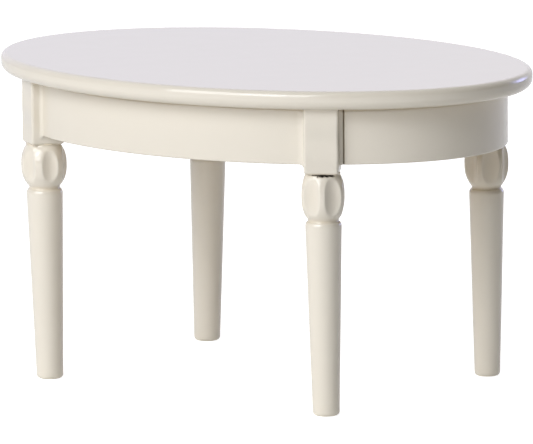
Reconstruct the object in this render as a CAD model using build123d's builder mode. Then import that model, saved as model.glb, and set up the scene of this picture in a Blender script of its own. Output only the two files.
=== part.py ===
from build123d import *

import math
import os
from collections import namedtuple

# Miniature oval dining table in painted wood, held together with dowels and glue.
#
# Millimetres. +X runs along the table, +Y across it, +Z up, and the origin is on the floor under the
# middle of the top. An oval top lies on an apron of four curved rails. The rails butt against four
# square corner posts, each turned square to the oval, and a turned leg stands under every post, leaning a
# little.

# The top: an oval board with rounded edges.
TOP_LENGTH = 160.0
TOP_WIDTH = 114.0
TABLE_HEIGHT = 87.7
TOP_THICKNESS = 5.0
TOP_UPPER_ROUND = 1.7
TOP_LOWER_ROUND = 2.4

# The apron: an oval ring, cut into four rails by the posts.
APRON_LENGTH = 146.0
APRON_WIDTH = 102.0
APRON_HEIGHT = 15.3
RAIL_THICKNESS = 5.0
RAIL_EDGE_ROUND = 0.4

# The posts.
POST_INSET = 1.9  # from the apron's outer face in to the post's axis
POST_SIDE = 9.2
POST_DROP = 2.6  # how far a post reaches below the rails
POST_EDGE_ROUND = 0.65
POST_FOOT_ROUND = 0.8

# The turned legs, from the floor up.
FOOT_RADIUS = 3.52
FOOT_ROUND = 1.1
SHOULDER_RADIUS = 4.75
SHOULDER_HEIGHT = 1.3  # of the quarter ellipse that rounds the top of the shaft
NECK_RADIUS = 4.12
NECK_WIDTH = 0.8
BULB_RADIUS = 6.05
BULB_TOP_RADIUS = 4.3
BULB_START = (1.0, 0.9)  # which way the bulb's outline leaves the neck, outwards and up
BULB_END = (-1.0, 0.8)  # and which way it meets the post
LEVELLING = 0.08  # left on both ends of a leg, and cut off level, because the leg leans

# The flutes: upright gouge cuts round each bulb.
FLUTE_COUNT = 6
GOUGE_RADIUS = 4.5

# The dowels. Each sits in its bore with a little room for glue.
GLUE_GAP = 0.05
BORE_END_GAP = 0.3
LEG_DOWEL_RADIUS = 2.0
LEG_DOWEL_IN_LEG = 9.0
LEG_DOWEL_IN_POST = 8.0
TOP_DOWEL_RADIUS = 1.5
TOP_DOWEL_IN_POST = 4.2
TOP_DOWEL_IN_TOP = 2.8
RAIL_DOWEL_RADIUS = 1.2
RAIL_DOWEL_IN_RAIL = 4.6
RAIL_DOWEL_IN_POST = 3.0
RAIL_DOWEL_BELOW_TOP = 7.4
DOWEL_END_CHAMFER = 0.3
DOWEL_GROOVE_COUNT = 8
DOWEL_GROOVE_SHARE = 0.12  # a groove's radius as a share of its dowel's

# Heights and ovals that follow from those.
TOP_UNDERSIDE = TABLE_HEIGHT - TOP_THICKNESS
APRON_BOTTOM = TOP_UNDERSIDE - APRON_HEIGHT
POST_BOTTOM = APRON_BOTTOM - POST_DROP
OUTER_X, OUTER_Y = APRON_LENGTH / 2, APRON_WIDTH / 2
INNER_X, INNER_Y = OUTER_X - RAIL_THICKNESS, OUTER_Y - RAIL_THICKNESS
RAIL_DOWEL_HEIGHT = TOP_UNDERSIDE - RAIL_DOWEL_BELOW_TOP

# The table is put together by hand, and its legs are turned by hand, so no two corners are quite alike. A
# corner is its name, where its post's axis stands and the way that its outer face looks. Then comes its
# leg: how far it was turned about its own axis when it was glued in, how deep its flutes are, how thick it
# was turned, how long its bulb is from the post down to the neck, and how far its foot stands from under
# its post, along X and Y.
Corner = namedtuple("Corner", "name x y outward flute_turn flute_depth girth bulb_length foot_shift")


def make_corner(name, side_x, side_y, oval_angle, *leg):
    """A post's place: a point on the apron's oval, moved in along the oval's normal there."""
    angle = math.radians(oval_angle)
    normal = Vector(math.cos(angle) / OUTER_X, math.sin(angle) / OUTER_Y).normalized()
    x = OUTER_X * math.cos(angle) - POST_INSET * normal.X
    y = OUTER_Y * math.sin(angle) - POST_INSET * normal.Y
    outward = Vector(side_x * normal.X, side_y * normal.Y)
    return Corner(name, side_x * x, side_y * y, outward, *leg)


FRONT_LEFT = make_corner("front_left", -1, -1, 47.5, 29.0, 0.95, 1.04, 12.0, (1.05, 0.2))
FRONT_RIGHT = make_corner("front_right", 1, -1, 48.0, 33.0, 1.2, 1.02, 12.3, (0.35, 0.25))
BACK_LEFT = make_corner("back_left", -1, 1, 47.5, 12.0, 1.2, 1.05, 12.3, (-0.7, -0.55))
BACK_RIGHT = make_corner("back_right", 1, 1, 47.5, 21.0, 1.2, 1.0, 12.7, (0.0, 0.0))
CORNERS = [FRONT_LEFT, FRONT_RIGHT, BACK_LEFT, BACK_RIGHT]


def level_plane(corner, height):
    """A horizontal plane on the post's axis, with its X looking out of the table."""
    return Plane(origin=(corner.x, corner.y, height), x_dir=corner.outward, z_dir=(0, 0, 1))


def leg_plane(corner):
    """The plane square to the leaning leg where it meets the post, with its Z up along the leg's axis."""
    up_the_leg = Vector(-corner.foot_shift[0], -corner.foot_shift[1], POST_BOTTOM)
    return Plane(origin=(corner.x, corner.y, POST_BOTTOM), x_dir=corner.outward, z_dir=up_the_leg)


def turning_plane(corner):
    """The plane of a leg's outline, through the leg's axis: X out from the axis, Y up along it."""
    joint = leg_plane(corner)
    return Plane(origin=joint.origin, x_dir=joint.x_dir, z_dir=-joint.y_dir)


def side_towards(corner, other):
    """The way along the apron from one post to the next, square to the post's side face."""
    side = corner.outward.cross(Vector(0, 0, 1))
    to_other = Vector(other.x - corner.x, other.y - corner.y)
    return side if side.dot(to_other) > 0 else -side


def rail_joint_plane(corner, other):
    """The plane of a rail's butt joint at its dowel: on the post's side face, Z into the rail."""
    along = side_towards(corner, other)
    rail_middle = POST_INSET - RAIL_THICKNESS / 2
    centre = Vector(corner.x, corner.y, RAIL_DOWEL_HEIGHT)
    centre += corner.outward * rail_middle + along * (POST_SIDE / 2)
    return Plane(origin=centre, x_dir=(0, 0, 1), z_dir=along)


def make_dowels(planes, radius, below, above):
    """Grooved dowels with chamfered ends, one on the Z axis of each plane, reaching below and above it."""
    length = below + above
    with BuildPart() as dowels:
        for plane in planes:
            with BuildSketch(plane.offset(-below)):
                Circle(radius)
            extrude(amount=length)
        chamfer(dowels.edges().filter_by(GeomType.CIRCLE), DOWEL_END_CHAMFER)
        for plane in planes:
            with BuildSketch(plane.offset(-below)):
                with PolarLocations(radius, DOWEL_GROOVE_COUNT):
                    Circle(radius * DOWEL_GROOVE_SHARE)
            extrude(amount=length, mode=Mode.SUBTRACT)
    return dowels.part


def cut_bore(plane, radius, depth):
    """Takes a dowel's bore out of the part being built, from the plane along its Z."""
    with BuildSketch(plane) as bore:
        Circle(radius + GLUE_GAP)
    extrude(bore.sketch, amount=depth + BORE_END_GAP, mode=Mode.SUBTRACT)


def make_top():
    """The oval board, with the four blind bores for the post dowels in its underside."""
    with BuildPart() as top:
        with BuildSketch(Plane.XY.offset(TOP_UNDERSIDE)):
            Ellipse(TOP_LENGTH / 2, TOP_WIDTH / 2)
        extrude(amount=TOP_THICKNESS)
        fillet(top.edges().group_by(Axis.Z)[-1], TOP_UPPER_ROUND)
        fillet(top.edges().group_by(Axis.Z)[0], TOP_LOWER_ROUND)
        for corner in CORNERS:
            cut_bore(level_plane(corner, TOP_UNDERSIDE), TOP_DOWEL_RADIUS, TOP_DOWEL_IN_TOP)
    return top.part


def rail_outline(corner, other):
    """Four points round the stretch of apron between two posts, along the posts' side faces."""
    points = []
    for end, far in ((corner, other), (other, corner)):
        on_side = Vector(end.x, end.y) + side_towards(end, far) * (POST_SIDE / 2)
        outside = on_side + end.outward * OUTER_X
        inside = on_side - end.outward * (RAIL_THICKNESS * 3)
        points += [outside, inside] if end is corner else [inside, outside]
    return [(point.X, point.Y) for point in points]


def make_rail(corner, other):
    """A curved rail: the stretch of the apron's oval ring between two posts."""
    with BuildPart() as rail:
        with BuildSketch(Plane.XY.offset(APRON_BOTTOM)):
            Ellipse(OUTER_X, OUTER_Y)
            Ellipse(INNER_X, INNER_Y, mode=Mode.SUBTRACT)
            with BuildLine():
                Polyline(*rail_outline(corner, other), close=True)
            make_face(mode=Mode.INTERSECT)
        extrude(amount=APRON_HEIGHT)
        fillet(rail.edges().group_by(Axis.Z)[0].filter_by(GeomType.ELLIPSE), RAIL_EDGE_ROUND)
        for end, far in ((corner, other), (other, corner)):
            cut_bore(rail_joint_plane(end, far), RAIL_DOWEL_RADIUS, RAIL_DOWEL_IN_RAIL)
    return rail.part


def make_post(corner, neighbours):
    """A square corner post, bored for the leg's dowel, the top's dowel and the rails' dowels."""
    with BuildPart() as post:
        with BuildSketch(level_plane(corner, POST_BOTTOM)):
            Rectangle(POST_SIDE, POST_SIDE)
        extrude(amount=TOP_UNDERSIDE - POST_BOTTOM)
        fillet(post.edges().filter_by(Axis.Z), POST_EDGE_ROUND)
        fillet(post.edges().group_by(Axis.Z)[0], POST_FOOT_ROUND)
        cut_bore(leg_plane(corner).offset(-LEVELLING), LEG_DOWEL_RADIUS, LEG_DOWEL_IN_POST + LEVELLING)
        underside_down = Plane(origin=(corner.x, corner.y, TOP_UNDERSIDE), z_dir=(0, 0, -1))
        cut_bore(underside_down, TOP_DOWEL_RADIUS, TOP_DOWEL_IN_POST)
        for other in neighbours:
            joint = rail_joint_plane(corner, other)
            into_post = Plane(origin=joint.origin, x_dir=joint.x_dir, z_dir=-joint.z_dir)
            cut_bore(into_post, RAIL_DOWEL_RADIUS, RAIL_DOWEL_IN_POST)
    return post.part


def make_leg(corner):
    """A turned leg: a tapered shaft with a rounded foot, a neck, and a fluted bulb under the post. Its
    outline is drawn down from the joint, and both its ends are then cut level."""
    joint = leg_plane(corner)
    foot_end = -POST_BOTTOM - LEVELLING
    neck_top = NECK_WIDTH / 2 - corner.bulb_length
    neck_bottom = neck_top - NECK_WIDTH
    shoulder_start = neck_bottom - SHOULDER_HEIGHT
    foot = FOOT_RADIUS * corner.girth
    shoulder = SHOULDER_RADIUS * corner.girth
    neck = NECK_RADIUS * corner.girth
    bulb = BULB_RADIUS * corner.girth
    bulb_top = BULB_TOP_RADIUS * corner.girth
    with BuildPart() as leg:
        with BuildSketch(turning_plane(corner)):
            with BuildLine():
                Line((0, foot_end), (foot, foot_end))
                Line((foot, foot_end), (shoulder, shoulder_start))
                EllipticalCenterArc((neck, shoulder_start), shoulder - neck, SHOULDER_HEIGHT, arc_size=90)
                Line((neck, neck_bottom), (neck, neck_top))
                Spline(
                    (neck, neck_top),
                    (bulb, -corner.bulb_length / 2),
                    (bulb_top, 0),
                    tangents=(BULB_START, BULB_END),
                )
                Polyline((bulb_top, 0), (bulb_top, LEVELLING), (0, LEVELLING), (0, foot_end))
            make_face()
        revolve(axis=Axis(joint.origin, joint.z_dir))
        fillet(leg.edges().group_by(Axis.Z)[0], FOOT_ROUND)
        with BuildSketch(joint.offset(-corner.bulb_length)):
            with PolarLocations(bulb - corner.flute_depth + GOUGE_RADIUS, FLUTE_COUNT, corner.flute_turn):
                Circle(GOUGE_RADIUS)
        extrude(amount=corner.bulb_length + LEVELLING, mode=Mode.SUBTRACT)
        down_the_leg = Plane(origin=joint.offset(LEVELLING).origin, z_dir=-joint.z_dir)
        cut_bore(down_the_leg, LEG_DOWEL_RADIUS, LEG_DOWEL_IN_LEG + LEVELLING)
        split(bisect_by=Plane.XY, keep=Keep.TOP)
        split(bisect_by=Plane.XY.offset(POST_BOTTOM), keep=Keep.BOTTOM)
    return leg.part


def save(shape, name):
    """Writes one piece, or one group of like pieces, under its own name."""
    shape.label = name
    export_step(shape, f"parts/{name}.step")


RAILS = {
    "front": (FRONT_LEFT, FRONT_RIGHT),
    "back": (BACK_LEFT, BACK_RIGHT),
    "left": (FRONT_LEFT, BACK_LEFT),
    "right": (FRONT_RIGHT, BACK_RIGHT),
}

os.makedirs("parts", exist_ok=True)
save(make_top(), "tabletop")
for rail_name, (end, far) in RAILS.items():
    save(make_rail(end, far), f"{rail_name}_apron_rail")
    joints = [rail_joint_plane(end, far), rail_joint_plane(far, end)]
    dowels = make_dowels(joints, RAIL_DOWEL_RADIUS, RAIL_DOWEL_IN_POST, RAIL_DOWEL_IN_RAIL)
    save(dowels, f"{rail_name}_rail_dowels")
for corner in CORNERS:
    neighbours = [b if a is corner else a for a, b in RAILS.values() if corner in (a, b)]
    save(make_post(corner, neighbours), f"{corner.name}_post")
    save(make_leg(corner), f"{corner.name}_leg")
    leg_dowel = make_dowels([leg_plane(corner)], LEG_DOWEL_RADIUS, LEG_DOWEL_IN_LEG, LEG_DOWEL_IN_POST)
    save(leg_dowel, f"{corner.name}_leg_dowel")
    top_joint = level_plane(corner, TOP_UNDERSIDE)
    top_dowel = make_dowels([top_joint], TOP_DOWEL_RADIUS, TOP_DOWEL_IN_POST, TOP_DOWEL_IN_TOP)
    save(top_dowel, f"{corner.name}_top_dowel")
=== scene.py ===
import math
from collections import namedtuple

import bpy
import numpy as np
from mathutils import Matrix, Vector


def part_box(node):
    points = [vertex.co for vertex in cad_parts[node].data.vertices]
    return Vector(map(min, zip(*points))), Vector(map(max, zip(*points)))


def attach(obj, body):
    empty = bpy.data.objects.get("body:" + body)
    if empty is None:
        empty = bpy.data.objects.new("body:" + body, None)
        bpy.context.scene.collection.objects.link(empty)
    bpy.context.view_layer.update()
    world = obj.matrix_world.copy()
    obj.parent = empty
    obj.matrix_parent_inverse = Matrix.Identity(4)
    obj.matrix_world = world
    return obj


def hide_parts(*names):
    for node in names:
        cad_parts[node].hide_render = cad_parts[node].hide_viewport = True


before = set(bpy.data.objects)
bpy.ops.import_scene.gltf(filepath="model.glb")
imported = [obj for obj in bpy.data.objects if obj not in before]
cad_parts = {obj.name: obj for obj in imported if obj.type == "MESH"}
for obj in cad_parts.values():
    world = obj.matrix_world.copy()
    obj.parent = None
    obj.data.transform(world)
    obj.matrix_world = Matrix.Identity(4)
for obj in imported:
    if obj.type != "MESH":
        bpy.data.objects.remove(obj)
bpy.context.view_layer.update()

MM = 0.001

# ---------------------------------------------------------------------------------------------------
# The tabletop. One oval board with its edge rounded over by sandpaper, rounder below than above, and
# sprayed all over with off-white lacquer. Its underside got only the thin overspray of one coat.

board_low, board_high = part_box("tabletop")
BOARD_HALF_LENGTH, BOARD_HALF_WIDTH = board_high.x, board_high.y
BOARD_UPPER_ROUND = 1.7 * MM
BOARD_LOWER_ROUND = 2.4 * MM
BOARD_STEPS_ROUND = 480
UPPER_ROUND_STEPS = 14
LOWER_ROUND_STEPS = 16
FACE_SHARES = (0.04, 0.2, 0.4, 0.6, 0.8, 0.93)  # how far out each row of a flat face stands
SUPPORT = 0.08 * MM  # how near to a rounding's start a row is set, so that flat faces shade flat

LACQUER = (0.800, 0.745, 0.635, 1.0)  # off-white with a little yellow ochre
POOLED_AND_SHADE = (0.640, 0.545, 0.390, 1.0)  # the same lacquer where it has run thick into a corner, and this colour as painted shade in creases, flutes, under the board and on the back legs' bulbs
THIN = (0.600, 0.470, 0.300, 1.0)  # and where the wood shows through a thin coat
GAP_WOOD_AND_SHADE = (0.030, 0.020, 0.011, 1.0)  # bare wood and glue deep in an open joint, drawn near black as painted shade


def oval_inset(angle, half_length, half_width, inset):
    """Points of an ellipse moved straight in, along its own normal, by the inset."""
    x, y = half_length * np.cos(angle), half_width * np.sin(angle)
    normal_x, normal_y = np.cos(angle) / half_length, np.sin(angle) / half_width
    length = np.hypot(normal_x, normal_y)
    return x - inset * normal_x / length, y - inset * normal_y / length


def quarter_round(radius, steps):
    """A quarter circle as (how far in, how far down) from the flat it starts on to the face it ends on."""
    turn = np.linspace(0, math.pi / 2, steps)
    return radius * (1 - np.sin(turn)), radius * (1 - np.cos(turn))


def closed_skin(name, rows, masks):
    """A closed mesh from rows of points that each run once round the piece. Neighbouring rows are joined
    by quads, and the first and last rows are closed by a fan to their own middle, with a sharp edge round
    it. Rows may run either way: where the volumes from the origin to every face add up to less than
    nothing, the skin came out inside out, and it is turned. Each mask is one number a point, from 0 to 1,
    kept on the mesh for the lacquer to read."""
    row_count, ring = rows.shape[:2]
    points = np.vstack([rows.reshape(-1, 3), rows[0].mean(0), rows[-1].mean(0)])
    start = np.arange(row_count - 1)[:, None] * ring
    here = np.arange(ring)
    after = (here + 1) % ring
    quads = np.stack([start + here, start + after, start + ring + after, start + ring + here], -1)
    quads = quads.reshape(-1, 4)
    last = (row_count - 1) * ring
    first_middle, last_middle = len(points) - 2, len(points) - 1
    first_fan = np.stack([np.full(ring, first_middle), after, here], -1)
    last_fan = np.stack([np.full(ring, last_middle), last + here, last + after], -1)
    mesh = bpy.data.meshes.new(name)
    mesh.from_pydata(points.tolist(), [], quads.tolist() + first_fan.tolist() + last_fan.tolist())
    triangles = np.vstack([quads[:, :3], quads[:, [0, 2, 3]], first_fan, last_fan])
    first, second, third = points[triangles].transpose(1, 0, 2)
    if (first * np.cross(second, third)).sum() < 0:
        mesh.flip_normals()
    for mask_name, mask in masks.items():
        values = np.append(mask.reshape(-1), [mask[0].mean(), mask[-1].mean()])
        attribute = mesh.attributes.new(mask_name, "FLOAT", "POINT")
        attribute.data.foreach_set("value", values.astype(np.float32))
    mesh.shade_smooth()
    edges = np.empty(len(mesh.edges) * 2, dtype=np.int32)
    mesh.edges.foreach_get("vertices", edges)
    edges = edges.reshape(-1, 2)
    sharp = (edges < ring).all(1) | ((edges >= last) & (edges < last + ring)).all(1)
    mesh.attributes.new("sharp_edge", "BOOLEAN", "EDGE").data.foreach_set("value", sharp)
    piece = bpy.data.objects.new(name, mesh)
    bpy.context.scene.collection.objects.link(piece)
    return piece


def board_rows():
    """The board's section, carried round the oval: from the middle of the top out to the edge, over the
    upper round, down the band, under the lower round and back to the middle of the underside."""
    angle = np.linspace(0, 2 * math.pi, BOARD_STEPS_ROUND, endpoint=False)
    upper_in, upper_down = quarter_round(BOARD_UPPER_ROUND, UPPER_ROUND_STEPS)
    lower_in, lower_down = quarter_round(BOARD_LOWER_ROUND, LOWER_ROUND_STEPS)
    face = [(share, BOARD_UPPER_ROUND, board_high.z) for share in FACE_SHARES]
    face += [(1.0, BOARD_UPPER_ROUND + SUPPORT, board_high.z)]
    rim = [(1.0, inset, board_high.z - down) for inset, down in zip(upper_in, upper_down)]
    rim += [(1.0, 0.0, board_low.z + BOARD_LOWER_ROUND + SUPPORT)]
    rim += [(1.0, inset, board_low.z + down) for inset, down in zip(lower_in[::-1], lower_down[::-1])]
    under = [(1.0, BOARD_LOWER_ROUND + SUPPORT, board_low.z)]
    under += [(share, BOARD_LOWER_ROUND, board_low.z) for share in FACE_SHARES[::-1]]
    rows = []
    for share, inset, height in face + rim + under:
        x, y = oval_inset(angle, BOARD_HALF_LENGTH, BOARD_HALF_WIDTH, inset)
        rows.append(np.stack([x * share, y * share, np.full_like(x, height)], -1))
    rows = np.array(rows)
    thin = np.zeros(rows.shape[:2])
    thin[len(face) + len(rim) :] = 1.0
    return rows, thin


def smooth_step(low, high, value):
    """0 below low, 1 above high, and an S curve between."""
    share = np.clip((value - low) / (high - low), 0, 1)
    return share * share * (3 - 2 * share)


def socket(tree, name, direction, kind, value=None):
    """A named socket on a node group's own tree."""
    made = tree.interface.new_socket(name=name, in_out=direction, socket_type=kind)
    if value is not None:
        made.default_value = value
    return made


def math_node(tree, operation, first, second=None, clamp=False):
    """One Math node, with each side either another node's output or a plain number."""
    node = tree.nodes.new("ShaderNodeMath")
    node.operation = operation
    node.use_clamp = clamp
    for index, side in enumerate((first, second)):
        if side is None:
            continue
        if isinstance(side, (int, float)):
            node.inputs[index].default_value = side
        else:
            tree.links.new(side, node.inputs[index])
    return node.outputs[0]


def noise_node(tree, place, scale, detail=2.0, roughness=0.5):
    """A Noise texture on the given place, as its value from 0 to 1."""
    node = tree.nodes.new("ShaderNodeTexNoise")
    node.inputs["Scale"].default_value = scale
    node.inputs["Detail"].default_value = detail
    node.inputs["Roughness"].default_value = roughness
    tree.links.new(place, node.inputs["Vector"])
    return node.outputs["Fac"]


def mix_colours(tree, factor, first, second):
    """One colour laid over another, by the factor."""
    node = tree.nodes.new("ShaderNodeMix")
    node.data_type = "RGBA"
    tree.links.new(factor, node.inputs["Factor"])
    for socket_name, side in (("A", first), ("B", second)):
        target = [i for i in node.inputs if i.name == socket_name and i.type == "RGBA"][0]
        if isinstance(side, tuple):
            target.default_value = side
        else:
            tree.links.new(side, target)
    return [o for o in node.outputs if o.type == "RGBA"][0]


# A noise's scale is in cells to the metre.
RIPPLE_SCALE = 620.0
MIST_SCALE = 3400.0
SPECK_SCALE = 150.0  # each cell has one place where a speck can lie
SPECK_RADIUS = 0.022  # of a cell
CLEAN_CELLS = 0.9  # the share of the cells with no speck


def spray_film_group():
    """The film that a spray gun leaves: an orange-peel ripple a millimetre or two across, a finer mist
    texture on it, and here and there a speck of dust that dried in. It gives their heights added up, and
    the specks as a mask from 0 to 1."""
    tree = bpy.data.node_groups.new("spray_film", "ShaderNodeTree")
    socket(tree, "Mist", "INPUT", "NodeSocketFloat", 0.2)
    socket(tree, "Height", "OUTPUT", "NodeSocketFloat")
    socket(tree, "Specks", "OUTPUT", "NodeSocketFloat")
    given = tree.nodes.new("NodeGroupInput")
    result = tree.nodes.new("NodeGroupOutput")
    place = tree.nodes.new("ShaderNodeTexCoord").outputs["Object"]
    ripple = noise_node(tree, place, RIPPLE_SCALE, 1.0)
    mist = math_node(tree, "MULTIPLY", noise_node(tree, place, MIST_SCALE, 2.0), given.outputs["Mist"])
    cells = tree.nodes.new("ShaderNodeTexVoronoi")
    cells.inputs["Scale"].default_value = SPECK_SCALE
    cells.inputs["Randomness"].default_value = 1.0
    tree.links.new(place, cells.inputs["Vector"])
    near = tree.nodes.new("ShaderNodeMapRange")
    near.interpolation_type = "SMOOTHSTEP"
    near.inputs["From Min"].default_value = 0.0
    near.inputs["From Max"].default_value = SPECK_RADIUS
    near.inputs["To Min"].default_value = 1.0
    near.inputs["To Max"].default_value = 0.0
    tree.links.new(cells.outputs["Distance"], near.inputs["Value"])
    chosen = tree.nodes.new("ShaderNodeSeparateColor")
    tree.links.new(cells.outputs["Color"], chosen.inputs[0])
    rare = math_node(tree, "GREATER_THAN", chosen.outputs[0], CLEAN_CELLS)
    specks = math_node(tree, "MULTIPLY", near.outputs[0], rare)
    height = math_node(tree, "ADD", math_node(tree, "ADD", ripple, mist), specks)
    tree.links.new(height, result.inputs["Height"])
    tree.links.new(specks, result.inputs["Specks"])
    return tree


CLOUD_SCALE = 85.0
CLOUD_DEPTH = 0.10  # how far the cloudiness goes from the plain lacquer towards the pooled
PATCH_SCALE = 260.0
PATCH_COVER = 0.3  # added to the patches, so that a thin coat has few solid ones


def lacquer_tint_group():
    """The colour of the lacquer over a piece: a faint cloudiness, thicker and yellower where it pooled, and
    that darker yellow as painted shade in creases, flutes and corners;
    warmer where it is thin; and dark bare wood, drawn near black as painted shade, where a joint stands open."""
    tree = bpy.data.node_groups.new("lacquer_tint", "ShaderNodeTree")
    for name in ("Pooled", "Thin", "Gap"):
        socket(tree, name, "INPUT", "NodeSocketFloat", 0.0)
    socket(tree, "Lightness", "INPUT", "NodeSocketFloat", 1.0)
    socket(tree, "Color", "OUTPUT", "NodeSocketColor")
    given = tree.nodes.new("NodeGroupInput")
    result = tree.nodes.new("NodeGroupOutput")
    place = tree.nodes.new("ShaderNodeTexCoord").outputs["Object"]
    cloud = math_node(tree, "SUBTRACT", noise_node(tree, place, CLOUD_SCALE, 3.0, 0.6), 0.5)
    cloud = math_node(tree, "MULTIPLY", cloud, CLOUD_DEPTH)
    pooled = math_node(tree, "ADD", given.outputs["Pooled"], cloud, clamp=True)
    patches = noise_node(tree, place, PATCH_SCALE, 3.0, 0.6)
    patches = math_node(tree, "ADD", patches, PATCH_COVER, clamp=True)
    thin = math_node(tree, "MULTIPLY", given.outputs["Thin"], patches)
    colour = mix_colours(tree, pooled, LACQUER, POOLED_AND_SHADE)
    colour = mix_colours(tree, thin, colour, THIN)
    colour = mix_colours(tree, given.outputs["Gap"], colour, GAP_WOOD_AND_SHADE)
    lightened = tree.nodes.new("ShaderNodeVectorMath")
    lightened.operation = "SCALE"
    tree.links.new(colour, lightened.inputs[0])
    tree.links.new(given.outputs["Lightness"], lightened.inputs["Scale"])
    tree.links.new(lightened.outputs[0], result.inputs["Color"])
    return tree


SPRAY_FILM = spray_film_group()
LACQUER_TINT = lacquer_tint_group()
GLOSS_SCALE = 140.0
GLOSS_NOISE = (0.3, 0.7)  # the noise values at which the roughness is at its lowest and its highest
THIN_DULLNESS = 0.22  # how much rougher a thin coat is
LACQUER_IOR = 1.6


def lacquer(name, mist, bump, gloss_low, gloss_high, lightness=1.0):
    """Sprayed lacquer: the tint and film groups, and a roughness that wanders between two values and rises
    where the coat is thin and in an open joint."""
    material = bpy.data.materials.new(name)
    material.use_nodes = True
    tree = material.node_tree
    shader = tree.nodes["Principled BSDF"]
    film = tree.nodes.new("ShaderNodeGroup")
    film.node_tree = SPRAY_FILM
    film.inputs["Mist"].default_value = mist
    tint = tree.nodes.new("ShaderNodeGroup")
    tint.node_tree = LACQUER_TINT
    tint.inputs["Lightness"].default_value = lightness
    masks = {}
    for mask in ("pooled", "thin", "gap"):
        node = tree.nodes.new("ShaderNodeAttribute")
        node.attribute_name = mask
        masks[mask] = node.outputs["Fac"]
        tree.links.new(node.outputs["Fac"], tint.inputs[mask.capitalize()])
    tree.links.new(tint.outputs["Color"], shader.inputs["Base Color"])
    place = tree.nodes.new("ShaderNodeTexCoord").outputs["Object"]
    patchy = tree.nodes.new("ShaderNodeMapRange")
    patchy.inputs["From Min"].default_value = GLOSS_NOISE[0]
    patchy.inputs["From Max"].default_value = GLOSS_NOISE[1]
    patchy.inputs["To Min"].default_value = gloss_low
    patchy.inputs["To Max"].default_value = gloss_high
    tree.links.new(noise_node(tree, place, GLOSS_SCALE, 3.0, 0.6), patchy.inputs["Value"])
    dull = math_node(tree, "MULTIPLY", masks["thin"], THIN_DULLNESS)
    dull = math_node(tree, "ADD", dull, masks["gap"])
    roughness = math_node(tree, "ADD", patchy.outputs[0], dull, clamp=True)
    tree.links.new(roughness, shader.inputs["Roughness"])
    relief = tree.nodes.new("ShaderNodeBump")
    relief.inputs["Strength"].default_value = 1.0
    relief.inputs["Distance"].default_value = bump
    tree.links.new(film.outputs["Height"], relief.inputs["Height"])
    tree.links.new(relief.outputs["Normal"], shader.inputs["Normal"])
    shader.inputs["IOR"].default_value = LACQUER_IOR
    return material


def finish_piece(piece, material, slot_name, *nodes):
    """Paints a new piece; its slot name is not used. It rides on the one body, and stands for its
    node."""
    piece.data.materials.append(material)
    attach(piece, "root")
    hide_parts(*nodes)
    return piece


rows, thin = board_rows()
clear = np.zeros_like(thin)
board = closed_skin("tabletop_board", rows, {"thin": thin, "pooled": clear, "gap": clear})
board_lacquer = lacquer("lacquer_board", 0.12, 0.002 * MM, 0.09, 0.12)
finish_piece(board, board_lacquer, "painted_top", "tabletop")

# ---------------------------------------------------------------------------------------------------
# The posts. Four square blocks with eased edges, each set square to the oval and glued between the rail
# ends. Their lower edges are rounded over, and the lacquer hangs a little thicker there; it is drawn darker
# and yellower there, also as painted shade in the crease over the leg.

CORNERS = ("front_left", "front_right", "back_left", "back_right")
POST_SIDE = 9.2 * MM
POST_EDGE_ROUND = 0.65 * MM
POST_FOOT_ROUND = 0.8 * MM
JOINT_LIFT = {"front_right": 0.22 * MM}  # how much higher than the others a post was sawn off
POST_OUTLINE_ARC = 7
POST_ROWS = 24
POST_FOOT_STEPS = 10
FOOT_LAST_ROW = 0.4  # how far in the last row under the post stands, as a share of its side
SANDING_WANDER = 0.03 * MM
POST_DRIP_AND_SHADE_START = 0.1 * MM  # the height over the foot where the darker lacquer, thick lacquer and painted shade, begins to fade
POST_DRIP_AND_SHADE = 0.35

APRON_HALF_LENGTH = -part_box("left_apron_rail")[0].x
APRON_HALF_WIDTH = -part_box("front_apron_rail")[0].y


def post_axis(corner):
    """Where the post stands: the middle of its own box, which is the same all round."""
    low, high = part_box(f"{corner}_post")
    return (low + high) / 2


def outward_of(corner):
    """The way that a post's outer face looks: along the apron oval's normal through the post's axis. The
    nearest point of the oval is found by stepping its angle until the axis lies on the normal."""
    axis = post_axis(corner)
    angle = math.atan2(axis.y / APRON_HALF_WIDTH, axis.x / APRON_HALF_LENGTH)
    for _ in range(20):
        point = Vector((APRON_HALF_LENGTH * math.cos(angle), APRON_HALF_WIDTH * math.sin(angle)))
        tangent = Vector((-APRON_HALF_LENGTH * math.sin(angle), APRON_HALF_WIDTH * math.cos(angle)))
        angle += (Vector(axis.xy) - point).dot(tangent) / tangent.length_squared
    normal = Vector((math.cos(angle) / APRON_HALF_LENGTH, math.sin(angle) / APRON_HALF_WIDTH, 0))
    return normal.normalized()


def rounded_square(side, radius, steps):
    """A square outline with rounded corners, with a support point just before and after each corner."""
    half = side / 2
    turn = np.linspace(0, math.pi / 2, steps)
    arc_x = np.concatenate([[half], half - radius + radius * np.cos(turn), [half - radius - SUPPORT]])
    arc_y = np.concatenate([[half - radius - SUPPORT], half - radius + radius * np.sin(turn), [half]])
    corners = []
    for quarter in range(4):
        spin = quarter * math.pi / 2
        corners.append(np.stack([arc_x * math.cos(spin) - arc_y * math.sin(spin),
                                 arc_x * math.sin(spin) + arc_y * math.cos(spin)], -1))
    return np.concatenate(corners)


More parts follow.
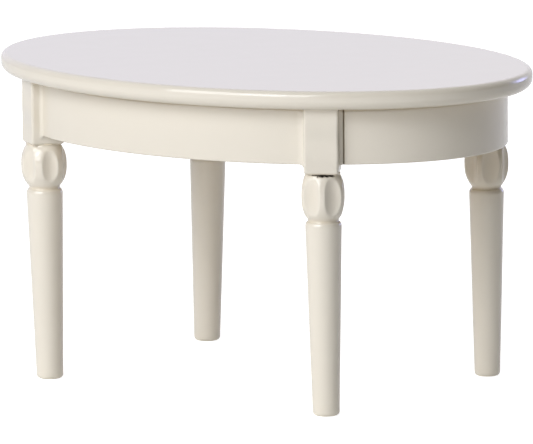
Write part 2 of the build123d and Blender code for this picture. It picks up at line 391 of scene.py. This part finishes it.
def post_rows(corner):
    """The post's outline carried from its closed top down to the rounded lower edges and its closed foot.
    The side faces wander by a few hundredths of a millimetre, as hand-sanded ones do."""
    low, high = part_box(f"{corner}_post")
    low.z += JOINT_LIFT.get(corner, 0.0)
    axis, outward = post_axis(corner), outward_of(corner)
    sideways = Vector((-outward.y, outward.x, 0))
    outline = rounded_square(POST_SIDE, POST_EDGE_ROUND, POST_OUTLINE_ARC)
    inset, down = quarter_round(POST_FOOT_ROUND, POST_FOOT_STEPS)
    straight = np.linspace(high.z, low.z + POST_FOOT_ROUND + SUPPORT, POST_ROWS)
    heights = np.concatenate([straight, low.z + down[::-1], [low.z, low.z]])
    under = [POST_FOOT_ROUND + SUPPORT, POST_SIDE * FOOT_LAST_ROW]
    insets = np.concatenate([np.zeros(POST_ROWS), inset[::-1], under])
    scale = 1 - insets / (POST_SIDE / 2)
    flat = outline[None] * scale[:, None, None]
    wander = SANDING_WANDER * np.sin(heights[:, None] * 700 + np.arange(len(outline))[None] * 0.35)
    reach = 1 + wander / (POST_SIDE / 2)
    flat = flat * reach[..., None]
    x = axis.x + flat[..., 0] * outward.x + flat[..., 1] * sideways.x
    y = axis.y + flat[..., 0] * outward.y + flat[..., 1] * sideways.y
    rows = np.stack([x, y, np.broadcast_to(heights[:, None], x.shape)], -1)
    # Thicker lacquer and painted shade: the rounded foot is drawn darker and yellower.
    below = 1 - smooth_step(low.z + POST_DRIP_AND_SHADE_START, low.z + POST_FOOT_ROUND, rows[..., 2])
    return rows, below


post_lacquer = lacquer("lacquer_post", 0.15, 0.003 * MM, 0.12, 0.16)
for corner in CORNERS:
    rows, below = post_rows(corner)
    clear = np.zeros_like(below)
    masks = {"thin": clear, "pooled": below * POST_DRIP_AND_SHADE, "gap": clear}
    post = closed_skin(f"{corner}_corner_post", rows, masks)
    finish_piece(post, post_lacquer, "painted_post", f"{corner}_post")

# ---------------------------------------------------------------------------------------------------
# The apron rails. Four curved pieces of one oval ring, butted against the posts. Filler and lacquer fill
# the inner corner beside each post with a small hollow fillet, and run down a little at its foot.

RAIL_THICKNESS = 5.0 * MM
RAIL_EDGE_ROUND = 0.4 * MM
FILLET_SPREAD = 1.3  # a fillet's length along the rail for its height up the post
CRACK_PLACE = 1.15 * MM  # from the post's side face
CRACK_WIDTH = 0.38 * MM
CRACK_DEPTH = 0.45 * MM
EASED_LENGTH = 0.7 * MM  # of the rail's sanded end, past the crack
EASED_DEPTH = 0.12 * MM
END_ZONE = 2.6 * MM  # the stretch at each end that gets fine steps
END_ZONE_STEPS = 52
MIDDLE_STEPS = 110
RUN_FADE = (0.2 * MM, 1.6 * MM)  # heights over the rail's foot between which a run thins out
UNDER_BOARD_SHADE_HEIGHT = 1.2 * MM  # how far down from the board the rail is drawn darker, as painted shade
UNDER_BOARD_SHADE = 0.5
# How dark the rail's crack is drawn: bare wood, with painted shade deep in it.
CRACK_DARKNESS = 0.6

# Each rail runs between two corners. At each end the fillet reaches its own height up the post's side
# face, and the lacquer hangs down in a run of its own size. At the front right corner the right rail's
# fillet broke away, and left a dark crack down the joint.
RailEnd = namedtuple("RailEnd", "corner fillet run cracked")
RAILS = {
    "front": (RailEnd("front_left", 0.9 * MM, 1.0 * MM, False),
              RailEnd("front_right", 1.6 * MM, 1.6 * MM, False)),
    "right": (RailEnd("front_right", 1.2 * MM, 0.5 * MM, True),
              RailEnd("back_right", 1.1 * MM, 1.0 * MM, False)),
    "back": (RailEnd("back_right", 1.0 * MM, 1.0 * MM, False),
             RailEnd("back_left", 1.4 * MM, 1.2 * MM, False)),
    "left": (RailEnd("back_left", 1.2 * MM, 1.0 * MM, False),
             RailEnd("front_left", 1.0 * MM, 1.2 * MM, False)),
}


def rail_end(corner, far_corner):
    """The end of a rail: a point on the post's side face, and the way from there along the rail."""
    axis, outward = post_axis(corner), outward_of(corner)
    along = Vector((-outward.y, outward.x, 0))
    if along.dot(post_axis(far_corner) - axis) < 0:
        along = -along
    return np.array(axis + along * POST_SIDE / 2)[:2], np.array(along)[:2]


def crossing_angle(end, half_length, half_width, guess):
    """The oval's angle where it meets the plane of a rail's end, closed in on from a guess."""
    point, along = end
    angle = guess
    for _ in range(30):
        place = np.array([half_length * math.cos(angle), half_width * math.sin(angle)])
        speed = np.array([-half_length * math.sin(angle), half_width * math.cos(angle)])
        angle -= ((place - point) @ along) / (speed @ along)
    return angle


def hollow_fillet(distance, length, height):
    """How far a hollow fillet, a quarter of an ellipse, stands out at a distance from the face it runs up."""
    left = np.clip(1 - distance / length, 0, 1)
    return height * (1 - np.sqrt(1 - left**2))


def rail_rows(name):
    """The rail's section, carried along the oval from one post to the other. Each row runs once round the
    section: down the outer face, round the lower outer edge, across the bottom, and up the inner face."""
    near, far = RAILS[name]
    low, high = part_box(f"{name}_apron_rail")
    ends = rail_end(near.corner, far.corner), rail_end(far.corner, near.corner)
    half_lengths = APRON_HALF_LENGTH, APRON_HALF_LENGTH - RAIL_THICKNESS
    half_widths = APRON_HALF_WIDTH, APRON_HALF_WIDTH - RAIL_THICKNESS
    spans = []
    for half_length, half_width in zip(half_lengths, half_widths):
        guesses = [math.atan2(end[0][1] / half_width, end[0][0] / half_length) for end in ends]
        if guesses[1] < guesses[0]:
            guesses[1] += 2 * math.pi
        spans.append([crossing_angle(end, half_length, half_width, guess)
                      for end, guess in zip(ends, guesses)])
    zone = END_ZONE / np.hypot(*(ends[1][0] - ends[0][0]))
    fine = np.linspace(0, zone, END_ZONE_STEPS, endpoint=False)
    share = np.concatenate([fine, np.linspace(zone, 1 - zone, MIDDLE_STEPS), 1 - fine[::-1]])
    round_in, round_down = quarter_round(RAIL_EDGE_ROUND, 6)
    above_round = low.z + RAIL_EDGE_ROUND + SUPPORT
    bottom_start = RAIL_EDGE_ROUND + SUPPORT
    bottom_end = RAIL_THICKNESS - RAIL_EDGE_ROUND - SUPPORT
    section = [(0.0, height) for height in np.linspace(high.z, above_round, 12)]
    section += [(inset, low.z + down) for inset, down in zip(round_in[::-1], round_down[::-1])]
    section += [(inset, low.z) for inset in np.linspace(bottom_start, bottom_end, 5)]
    section += [(RAIL_THICKNESS - inset, low.z + down) for inset, down in zip(round_in, round_down)]
    section += [(RAIL_THICKNESS, height) for height in np.linspace(above_round, high.z, 8)]
    section = np.array(section)
    depth = section[None, :, 0] / RAIL_THICKNESS
    angle = [span[0] + share * (span[1] - span[0]) for span in spans]
    outer_x, outer_y = oval_inset(angle[0], half_lengths[0], half_widths[0], 0)
    inner_x, inner_y = oval_inset(angle[1], half_lengths[1], half_widths[1], 0)
    x = outer_x[:, None] * (1 - depth) + inner_x[:, None] * depth
    y = outer_y[:, None] * (1 - depth) + inner_y[:, None] * depth
    z = np.broadcast_to(section[None, :, 1], x.shape).copy()
    low_down = 1 - smooth_step(low.z + RUN_FADE[0], low.z + RUN_FADE[1], z)
    near_face = 1 - smooth_step(0.1, 0.5, depth)
    cracked = np.zeros_like(x)
    for facts, (point, along) in zip((near, far), ends):
        distance = np.maximum((x - point[0]) * along[0] + (y - point[1]) * along[1], 0)
        run = hollow_fillet(distance, facts.run, facts.run)
        stand = hollow_fillet(distance, FILLET_SPREAD * facts.fillet, facts.fillet) * near_face
        stand -= run * smooth_step(0.5, 0.9, depth)
        if facts.cracked:
            crack = np.exp(-(((distance - CRACK_PLACE) / (CRACK_WIDTH / 2)) ** 2)) * near_face
            past = np.clip((distance - CRACK_PLACE) / EASED_LENGTH, 0, 1)
            eased = EASED_DEPTH * (1 - past) ** 2 * (distance > CRACK_PLACE)
            stand -= crack * CRACK_DEPTH + eased * near_face
            cracked = np.maximum(cracked, crack)
        outward = outward_of(facts.corner)
        x = x + stand * outward.x
        y = y + stand * outward.y
        z -= run * low_down * (1 - smooth_step(0.3, 0.9, depth))
    rows = np.stack([x, y, z], -1)
    # Painted shade: the rail is drawn darker and yellower just under the board.
    under_board = smooth_step(high.z - UNDER_BOARD_SHADE_HEIGHT, high.z, z)
    inside = smooth_step(0.7, 1.0, np.broadcast_to(depth, x.shape))
    # The crack is drawn dark and yellow, as bare wood with painted shade.
    in_crack = smooth_step(0.2, 0.8, cracked)
    pooled = np.maximum(under_board * UNDER_BOARD_SHADE, in_crack)
    return rows, {"pooled": pooled, "thin": inside, "gap": in_crack * CRACK_DARKNESS}


rail_lacquer = lacquer("lacquer_rail", 0.15, 0.003 * MM, 0.14, 0.18)
for name in RAILS:
    rail = closed_skin(f"{name}_curved_rail", *rail_rows(name))
    finish_piece(rail, rail_lacquer, "painted_apron", f"{name}_apron_rail")

# ---------------------------------------------------------------------------------------------------
# The legs. Each is turned from one stick: a foot with a rounded edge, a shaft that swells upwards, a
# shoulder, a neck, and a bulb with six upright gouge cuts. Its dowel is glued up into the post, and on
# one leg the joint stands open where the lacquer broke.

FOOT_RADIUS = 3.52 * MM
FOOT_ROUND = 1.1 * MM
SHOULDER_RADIUS = 4.75 * MM
SHOULDER_HEIGHT = 1.3 * MM
NECK_RADIUS = 4.12 * MM
NECK_WIDTH = 0.8 * MM
NECK_HOLLOW = 0.10 * MM
BULB_RADIUS = 6.05 * MM
BULB_TOP_RADIUS = 4.3 * MM
BULB_FULLNESS = 2.5  # above 2 the bulb is fuller than a plain arc
JOINT_FILL = 0.35 * MM  # how far the lacquer stands out in the corner under the post
JOINT_FILL_HEIGHT = 0.6 * MM
POOL_TOP = ((0.2 * MM, 4.2 * MM), (0.4 * MM, 3.95 * MM))  # heights above the joint and radii, less the fill
FLUTE_COUNT = 6
GOUGE_RADIUS = 4.5 * MM
FLUTE_EDGE_SOFTNESS = 0.28 * MM
GAP_REACH = 1.6 * MM  # how far in an open joint can be seen
LEG_STEPS_ROUND = 240
FOOT_STEPS = 12
SHAFT_STEPS = 46
SHOULDER_STEPS = 14
NECK_STEPS = 8
BULB_STEPS = 121
BREAK_SOFTNESS = 4.0  # degrees over which an open stretch begins and ends
GAP_SHARPNESS = 5  # how soon a gap is drawn dark, as bare wood with painted shade
BULB_SHADE_SPAN = (-8 * MM, 4 * MM)  # heights over the neck between which the painted shade on the bulb comes in
# How much darker and yellower the lacquer is drawn deep in the flutes: pooled lacquer and painted shade.
FLUTE_POOL_AND_SHADE = 0.15
EDGE_POOL_AND_SHADE = 0.5  # lacquer pooled in the neck and under the post, drawn darker as painted shade
EDGE_POOL_AND_SHADE_REACH = 0.5 * MM

# No two legs are quite alike. Each has how far it was turned about its axis when it was glued in, in
# degrees from its post's outward direction; how deep its flutes are; how thick it was turned; how long its
# bulb is; how far its foot stands from under its post; how much painted shade, darker and yellower, lies up
# its bulb; and the open stretches of its joint. An open stretch is its first and last angle, and the height
# of the gap.
LegFacts = namedtuple("LegFacts", "flute_turn flute_depth girth bulb_length foot_shift pooled open_joint")
LEG_FACTS = {
    "front_left": LegFacts(29.0, 0.95 * MM, 1.04, 12.0 * MM, (1.05 * MM, 0.2 * MM), 0.0, []),
    "front_right": LegFacts(33.0, 1.2 * MM, 1.02, 12.3 * MM, (0.35 * MM, 0.25 * MM), 0.0,
                            [(-12.0, 51.0, 0.60 * MM), (-36.0, -10.0, 0.25 * MM)]),
    "back_left": LegFacts(12.0, 1.2 * MM, 1.05, 12.3 * MM, (-0.7 * MM, -0.55 * MM), 0.15, []),
    "back_right": LegFacts(21.0, 1.2 * MM, 1.0, 12.7 * MM, (0.0, 0.0), 0.4, []),
}


def leg_profile(post_foot, bulb_length):
    """The turned outline as heights and radii, from the foot's edge to the top of the bulb: a quarter
    circle, a straight taper, a quarter ellipse, a shallow hollow neck, a bulb whose radius falls off from its
    middle by a power of the distance, and the pool of lacquer that fills the groove round the post's foot."""
    neck = post_foot - bulb_length
    neck_bottom, neck_top = neck - NECK_WIDTH / 2, neck + NECK_WIDTH / 2
    shoulder = neck_bottom - SHOULDER_HEIGHT
    foot_turn = np.linspace(0, math.pi / 2, FOOT_STEPS)
    foot_z = FOOT_ROUND * (1 - np.cos(foot_turn))
    foot_r = FOOT_RADIUS - FOOT_ROUND * (1 - np.sin(foot_turn))
    shaft_z = np.linspace(FOOT_ROUND, shoulder, SHAFT_STEPS)[1:]
    shaft_r = np.interp(shaft_z, [FOOT_ROUND, shoulder], [FOOT_RADIUS, SHOULDER_RADIUS])
    round_turn = np.linspace(0, math.pi / 2, SHOULDER_STEPS)[1:]
    shoulder_z = shoulder + SHOULDER_HEIGHT * np.sin(round_turn)
    shoulder_r = NECK_RADIUS + (SHOULDER_RADIUS - NECK_RADIUS) * np.cos(round_turn)
    neck_share = np.linspace(0, 1, NECK_STEPS)[1:]
    neck_z = neck_bottom + NECK_WIDTH * neck_share
    neck_r = NECK_RADIUS - NECK_HOLLOW * np.sin(neck_share * math.pi)
    bulb_z = np.linspace(neck_top, post_foot, BULB_STEPS)[1:]
    middle, half = (neck_top + post_foot) / 2, (post_foot - neck_top) / 2
    share = (bulb_z - middle) / half
    end_radius = np.where(share < 0, NECK_RADIUS, BULB_TOP_RADIUS)
    bulb_r = BULB_RADIUS - (BULB_RADIUS - end_radius) * np.abs(share) ** BULB_FULLNESS
    pool_z, pool_r = post_foot + np.array(POOL_TOP)[:, 0], np.array(POOL_TOP)[:, 1]
    heights = np.concatenate([foot_z, shaft_z, shoulder_z, neck_z, bulb_z, pool_z])
    radii = np.concatenate([foot_r, shaft_r, shoulder_r, neck_r, bulb_r, pool_r])
    return heights, radii


def soft_minimum(first, second, softness):
    """The lower of two values, with the corner between them rounded over."""
    share = np.clip(0.5 + 0.5 * (second - first) / softness, 0, 1)
    return second * (1 - share) + first * share - softness * share * (1 - share)


def gouge_cut(angle, bulb_radius, flute_turn, flute_depth):
    """The radius that the gouge leaves at an angle round the bulb: the near wall of an upright round
    cutter that reaches one flute's depth below the bulb's widest ring, at each of the evenly spaced
    flutes."""
    pitch = 2 * math.pi / FLUTE_COUNT
    from_flute = (angle - flute_turn + pitch / 2) % pitch - pitch / 2
    distance = bulb_radius - flute_depth + GOUGE_RADIUS
    side = np.minimum(np.abs(distance * np.sin(from_flute)), GOUGE_RADIUS)
    return distance * np.cos(from_flute) - np.sqrt(GOUGE_RADIUS**2 - side**2)


def leg_rows(corner):
    """The outline turned once round the leg's axis, less the flutes and the open stretch of the joint."""
    facts = LEG_FACTS[corner]
    axis, outward = post_axis(corner), outward_of(corner)
    lift = JOINT_LIFT.get(corner, 0.0)
    post_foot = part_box(f"{corner}_post")[0].z + lift
    bulb_length = facts.bulb_length + lift
    heights, radii = leg_profile(post_foot, bulb_length)
    turn = np.linspace(0, 2 * math.pi, LEG_STEPS_ROUND, endpoint=False)
    faces = math.atan2(outward.y, outward.x)
    neck_top = post_foot - bulb_length + NECK_WIDTH / 2
    radius = np.broadcast_to(radii[:, None] * facts.girth, (len(heights), len(turn))).copy()
    flute_turn = math.radians(facts.flute_turn) + faces
    cut = gouge_cut(turn, BULB_RADIUS * facts.girth, flute_turn, facts.flute_depth)
    in_bulb = heights > neck_top
    radius[in_bulb] = soft_minimum(radius[in_bulb], cut[None], FLUTE_EDGE_SOFTNESS)
    below_joint = (post_foot - heights)[:, None]
    radius += hollow_fillet(below_joint, JOINT_FILL_HEIGHT, JOINT_FILL)
    opened = np.zeros_like(radius)
    from_post = np.degrees((turn - faces + math.pi) % (2 * math.pi) - math.pi)
    ragged = 2.0 * np.sin(from_post * 0.9) + 1.2 * np.sin(from_post * 2.3 + 1)
    for first, last, gap in facts.open_joint:
        window = smooth_step(first, first + BREAK_SOFTNESS, from_post + ragged)
        window *= 1 - smooth_step(last - BREAK_SOFTNESS, last, from_post + ragged)
        uneven = gap * (1 + 0.15 * np.sin(from_post * 0.35))
        opened = np.maximum(opened, window * (1 - smooth_step(uneven * 0.8, uneven, below_joint)))
    radius -= opened * GAP_REACH
    lean = below_joint / post_foot
    rows = np.stack([axis.x + facts.foot_shift[0] * lean + radius * np.cos(turn),
                     axis.y + facts.foot_shift[1] * lean + radius * np.sin(turn),
                     np.broadcast_to(heights[:, None], radius.shape)], -1)
    cut_share = (radii[:, None] * facts.girth - radius) / facts.flute_depth
    depth_of_cut = np.clip(cut_share, 0, 1) * in_bulb[:, None]
    # Pooled lacquer and painted shade: darker and yellower in the neck, at the joint under the post and deep
    # in the flutes.
    in_neck = np.exp(-(((heights - (neck_top - NECK_WIDTH / 2)) / EDGE_POOL_AND_SHADE_REACH) ** 2))[:, None]
    at_joint = 1 - smooth_step(0, EDGE_POOL_AND_SHADE_REACH, below_joint)
    # Painted shade: the back legs' bulbs are drawn darker and yellower.
    up_the_bulb = smooth_step(*BULB_SHADE_SPAN, heights - neck_top)[:, None]
    pooled = facts.pooled * up_the_bulb + FLUTE_POOL_AND_SHADE * depth_of_cut
    pooled = np.clip(pooled + EDGE_POOL_AND_SHADE * in_neck + EDGE_POOL_AND_SHADE * at_joint, 0, 1)
    return rows[::-1], pooled[::-1], np.clip(opened * GAP_SHARPNESS, 0, 1)[::-1]


# The legs' lacquer is drawn 5.5 percent lighter than the same lacquer elsewhere, as painted light.
leg_lacquer = lacquer("lacquer_leg", 0.12, 0.002 * MM, 0.06, 0.09, 1.055)
for corner in CORNERS:
    rows, pooled, opened = leg_rows(corner)
    masks = {"thin": np.zeros_like(pooled), "pooled": pooled, "gap": opened}
    leg = closed_skin(f"{corner}_turned_leg", rows, masks)
    finish_piece(leg, leg_lacquer, "painted_leg", f"{corner}_leg")

# ---------------------------------------------------------------------------------------------------
# The dowels. Short grooved beech pins, hidden in the joints: from each post into its leg and into the
# board, and from each rail's ends into the posts. They are the design's own pieces, in raw beech.

BEECH_LIGHT = (0.62, 0.42, 0.24, 1.0)
BEECH_DARK = (0.42, 0.25, 0.125, 1.0)
GRAIN_SCALE = 2600.0
FLECK_SCALE = 7000.0
STANDING_GRAIN = (1.0, 1.0, 0.08)  # a scale below 1 draws the grain out along that axis
LYING_GRAIN = (0.12, 0.12, 1.0)


def beech(name, lying):
    """Raw beech: long pale grain with short dark flecks, drawn out along the dowel."""
    material = bpy.data.materials.new(name)
    material.use_nodes = True
    tree = material.node_tree
    shader = tree.nodes["Principled BSDF"]
    stretch = tree.nodes.new("ShaderNodeMapping")
    stretch.inputs["Scale"].default_value = LYING_GRAIN if lying else STANDING_GRAIN
    place = tree.nodes.new("ShaderNodeTexCoord").outputs["Object"]
    tree.links.new(place, stretch.inputs["Vector"])
    grain = noise_node(tree, stretch.outputs["Vector"], GRAIN_SCALE, 4.0, 0.6)
    flecks = noise_node(tree, stretch.outputs["Vector"], FLECK_SCALE, 1.0)
    dark = math_node(tree, "POWER", flecks, 4.0)
    tone = math_node(tree, "ADD", math_node(tree, "MULTIPLY", grain, 0.7), dark, clamp=True)
    tree.links.new(mix_colours(tree, tone, BEECH_LIGHT, BEECH_DARK), shader.inputs["Base Color"])
    shader.inputs["Roughness"].default_value = 0.72
    relief = tree.nodes.new("ShaderNodeBump")
    relief.inputs["Distance"].default_value = 0.03 * MM
    tree.links.new(grain, relief.inputs["Height"])
    tree.links.new(relief.outputs["Normal"], shader.inputs["Normal"])
    return material


standing_beech = beech("beech_standing", False)
lying_beech = beech("beech_lying", True)
for node_name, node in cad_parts.items():
    if "dowel" in node_name:
        node.data.materials.clear()
        node.data.materials.append(lying_beech if "rail" in node_name else standing_beech)

# ---------------------------------------------------------------------------------------------------
# The room. A plain pale floor that runs out of sight and glows a little, one large soft light high on the
# left with a brighter core, and soft glows behind, to the right of the back and overhead. A long lens looks
# from the front right corner, a little above the top.

CAMERA_AZIMUTH = math.radians(38.09)
CAMERA_ELEVATION = math.radians(9.145)
CAMERA_ROLL = math.radians(-0.543)
CAMERA_DISTANCE = 1.977
CAMERA_LENS = 490.2
AIM_SIDEWAYS = 0.0003
AIM_HEIGHT = 0.04266

FLOOR_COLOUR = (0.78, 0.78, 0.75, 1.0)
FLOOR_SIZE = 12.0
FLOOR_GLOW = 0.78  # the floor's own light in view, which washes out most of the shadows
FLOOR_MIRRORED = 0.40  # its light in the gloss on the table
FLOOR_BOUNCE = 0.10  # and the light that it throws on the table, from a disc right below
BOUNCE_DISC = (0.07, 0.15)  # the radii between which that disc fades out

across = Vector((math.cos(CAMERA_AZIMUTH), math.sin(CAMERA_AZIMUTH), 0))
towards_camera = Vector((math.sin(CAMERA_AZIMUTH), -math.cos(CAMERA_AZIMUTH), 0))
upwards = Vector((0, 0, 1))


def camera_matrix():
    """The camera's axes and place: level with the aim's elevation, then rolled about its line of sight."""
    back = towards_camera * math.cos(CAMERA_ELEVATION) + upwards * math.sin(CAMERA_ELEVATION)
    level_up = upwards * math.cos(CAMERA_ELEVATION) - towards_camera * math.sin(CAMERA_ELEVATION)
    right = across * math.cos(CAMERA_ROLL) + level_up * math.sin(CAMERA_ROLL)
    up = level_up * math.cos(CAMERA_ROLL) - across * math.sin(CAMERA_ROLL)
    aim = across * AIM_SIDEWAYS + upwards * AIM_HEIGHT
    turn = Matrix((right, up, back)).transposed().to_4x4()
    return Matrix.Translation(aim + back * CAMERA_DISTANCE) @ turn


camera = bpy.data.objects.new("camera", bpy.data.cameras.new("camera"))
camera.data.lens = CAMERA_LENS
camera.data.sensor_width = 36.0
camera.data.clip_end = 50.0
camera.matrix_world = camera_matrix()
bpy.context.scene.collection.objects.link(camera)
bpy.context.scene.camera = camera


def soft_light(name, bearing, elevation, distance, size, power, colour):
    """A soft light, as wide and high as its size says, that looks at the table. The bearing is in degrees
    from the camera's side, and positive to the right."""
    bearing, elevation = math.radians(bearing), math.radians(elevation)
    level = towards_camera * math.cos(bearing) + across * math.sin(bearing)
    direction = level * math.cos(elevation) + upwards * math.sin(elevation)
    lamp = bpy.data.lights.new(name, "AREA")
    lamp.shape = "RECTANGLE"
    lamp.size, lamp.size_y = size
    lamp.energy = power
    lamp.color = colour
    light = bpy.data.objects.new(name, lamp)
    light.location = direction * distance + upwards * 0.05
    light.rotation_euler = direction.to_track_quat("Z", "Y").to_euler()
    bpy.context.scene.collection.objects.link(light)


soft_light("key_light", bearing=-41.5, elevation=28.0, distance=2.4, size=(2.1, 1.9), power=48.0,
           colour=(0.995, 1.0, 1.03))
soft_light("key_core", bearing=-36.0, elevation=32.0, distance=2.4, size=(0.60, 0.60), power=5.5,
           colour=(0.98, 1.0, 1.08))

floor_mesh = bpy.data.meshes.new("floor")
half = FLOOR_SIZE / 2
floor_corners = [(-half, -half, 0), (half, -half, 0), (half, half, 0), (-half, half, 0)]
floor_mesh.from_pydata(floor_corners, [], [(0, 1, 2, 3)])
floor = bpy.data.objects.new("floor", floor_mesh)
bpy.context.scene.collection.objects.link(floor)
floor_paint = bpy.data.materials.new("floor_paint")
floor_paint.use_nodes = True
floor_tree = floor_paint.node_tree
floor_shader = floor_tree.nodes["Principled BSDF"]
floor_shader.inputs["Base Color"].default_value = FLOOR_COLOUR
floor_shader.inputs["Roughness"].default_value = 0.9
floor_shader.inputs["Specular IOR Level"].default_value = 0.1
floor_shader.inputs["Emission Color"].default_value = (1.0, 1.0, 1.0, 1.0)
seen_by = floor_tree.nodes.new("ShaderNodeLightPath")
from_middle = floor_tree.nodes.new("ShaderNodeVectorMath")
from_middle.operation = "LENGTH"
floor_place = floor_tree.nodes.new("ShaderNodeTexCoord").outputs["Object"]
floor_tree.links.new(floor_place, from_middle.inputs[0])
below_table = floor_tree.nodes.new("ShaderNodeMapRange")
below_table.interpolation_type = "SMOOTHSTEP"
below_table.inputs["From Min"].default_value = BOUNCE_DISC[0]
below_table.inputs["From Max"].default_value = BOUNCE_DISC[1]
below_table.inputs["To Min"].default_value = FLOOR_BOUNCE
below_table.inputs["To Max"].default_value = 0.0
floor_tree.links.new(from_middle.outputs["Value"], below_table.inputs["Value"])
rays = (("Is Camera Ray", FLOOR_GLOW), ("Is Glossy Ray", FLOOR_MIRRORED),
        ("Is Diffuse Ray", below_table.outputs[0]))
in_view, mirrored, thrown = [math_node(floor_tree, "MULTIPLY", seen_by.outputs[ray], share)
                             for ray, share in rays]
floor_light = math_node(floor_tree, "ADD", math_node(floor_tree, "ADD", in_view, mirrored), thrown)
floor_tree.links.new(floor_light, floor_shader.inputs["Emission Strength"])
floor_mesh.materials.append(floor_paint)

world = bpy.data.worlds.new("room")
world.use_nodes = True
room = world.node_tree


def wall_glow(direction, spread, colour):
    """A soft glow on one side of the room: the colour, times the cosine of the angle from the direction to
    the power of the spread."""
    way = room.nodes.new("ShaderNodeTexCoord").outputs["Generated"]
    cosine = room.nodes.new("ShaderNodeVectorMath")
    cosine.operation = "DOT_PRODUCT"
    cosine.inputs[1].default_value = direction.normalized()
    room.links.new(way, cosine.inputs[0])
    strength = math_node(room, "POWER", math_node(room, "MAXIMUM", cosine.outputs["Value"], 0.0), spread)
    glow = room.nodes.new("ShaderNodeBackground")
    glow.inputs["Color"].default_value = colour
    room.links.new(strength, glow.inputs["Strength"])
    return glow.outputs[0]


right_of_back = across - towards_camera
glows = [
    wall_glow(upwards * 0.3 - towards_camera, 2.0, (0.94, 0.93, 1.10, 1.0)),
    wall_glow(right_of_back, 4.0, (0.30, 0.28, 0.06, 1.0)),
    wall_glow(right_of_back + upwards * 0.2, 60.0, (2.8, 3.0, 6.0, 1.0)),
    wall_glow(upwards, 6.0, (0.42, 0.41, 0.37, 1.0)),
]
together = glows[0]
for glow in glows[1:]:
    both = room.nodes.new("ShaderNodeAddShader")
    room.links.new(together, both.inputs[0])
    room.links.new(glow, both.inputs[1])
    together = both.outputs[0]
room.links.new(together, room.nodes["World Output"].inputs["Surface"])
bpy.context.scene.world = world
bpy.context.scene.view_settings.view_transform = "Standard"
